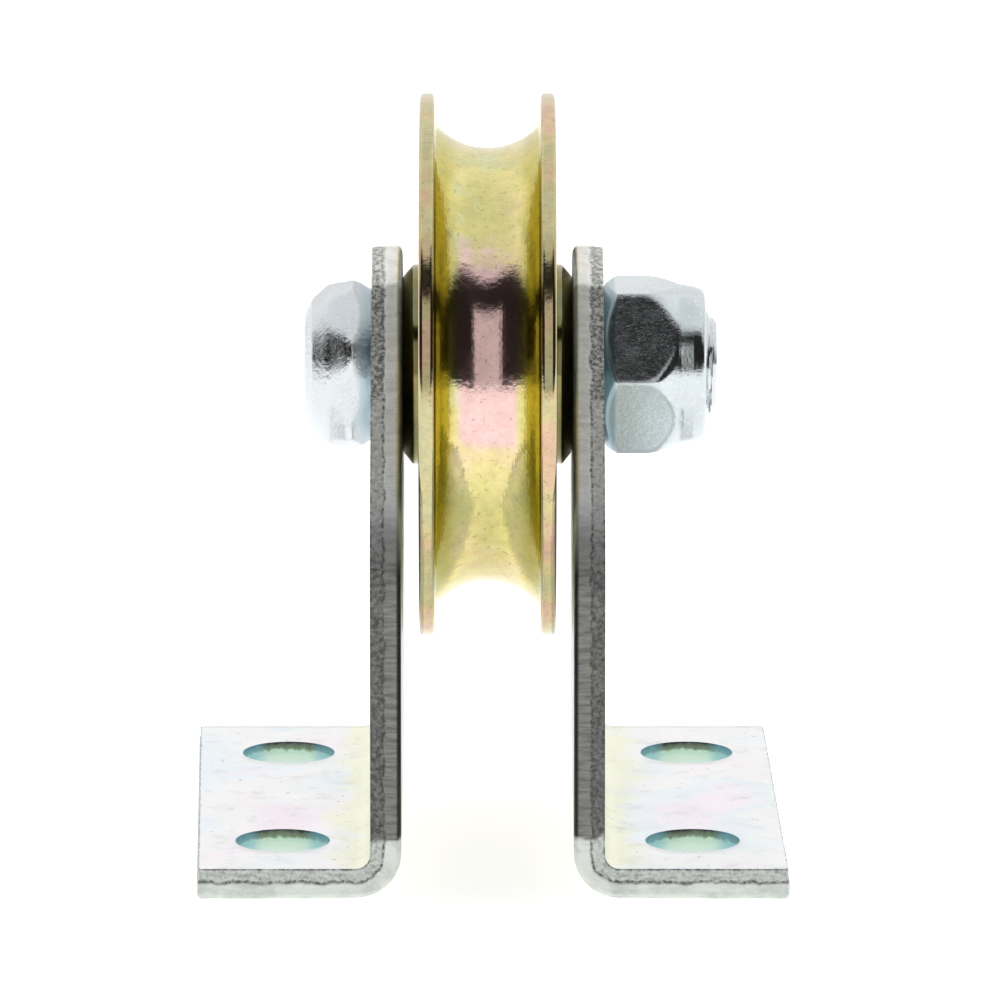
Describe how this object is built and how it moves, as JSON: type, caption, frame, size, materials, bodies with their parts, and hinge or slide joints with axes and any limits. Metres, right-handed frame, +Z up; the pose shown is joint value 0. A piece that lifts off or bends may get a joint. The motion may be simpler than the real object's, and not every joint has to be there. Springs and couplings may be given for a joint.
{
  "type": "gate wheel",
  "caption": "U-groove gate wheel on a ball bearing, bolted between two outward-facing L-shaped steel brackets with drilled feet.",
  "frame": {"origin": "centre of the four foot holes, on the plane that the undersides of the feet lie on", "axes": "+Z up from the feet to the wheel, +X along the axle from the bolt head to the nut, Y the rolling direction, with -Y towards the viewer"},
  "size_m": [0.0878, 0.09, 0.11],
  "materials": {
    "bracket_zinc": "clear zinc-plated pressed steel, rough sheared edges",
    "bolt_zinc": "blue-white zinc-plated forged steel",
    "nut_zinc": "blue-white zinc-plated forged steel",
    "insert_nylon": "natural nylon",
    "spacer_yellow_zinc": "yellow chromate zinc-plated turned steel",
    "wheel_yellow_zinc": "yellow chromate zinc-plated turned steel",
    "bearing_steel": "ground bearing steel",
    "shield_steel": "pressed steel sheet",
    "spring_steel": "phosphated spring steel",
    "ball_steel": "polished bearing steel",
    "cage_steel": "pressed steel sheet"
  },
  "bodies": {
    "frame": {"left_bracket": "bracket_zinc", "right_bracket": "bracket_zinc", "axle_bolt": "bolt_zinc", "lock_nut": "nut_zinc", "lock_nut_insert": "insert_nylon", "left_spacer": "spacer_yellow_zinc", "right_spacer": "spacer_yellow_zinc", "bearing_inner_ring": "bearing_steel"},
    "wheel": {"wheel_body": "wheel_yellow_zinc", "bearing_outer_ring": "bearing_steel", "bearing_shield_left": "shield_steel", "bearing_shield_right": "shield_steel", "retaining_ring": "spring_steel"},
    "ball_set": {"bearing_balls": "ball_steel", "bearing_cage_left": "cage_steel", "bearing_cage_right": "cage_steel", "bearing_cage_rivets": "cage_steel"}
  },
  "joints": [
    {"name": "wheel_spin", "type": "hinge", "parent": "frame", "child": "wheel", "pos_m": [0, 0, 0.07], "axis": [1, 0, 0], "continuous": true},
    {"name": "cage_spin", "type": "hinge", "parent": "frame", "child": "ball_set", "pos_m": [0, 0, 0.07], "axis": [1, 0, 0], "continuous": true}
  ],
  "couplings": [
    {"joint": "cage_spin", "follows": "wheel_spin", "ratio": 0.6185}
  ]
}
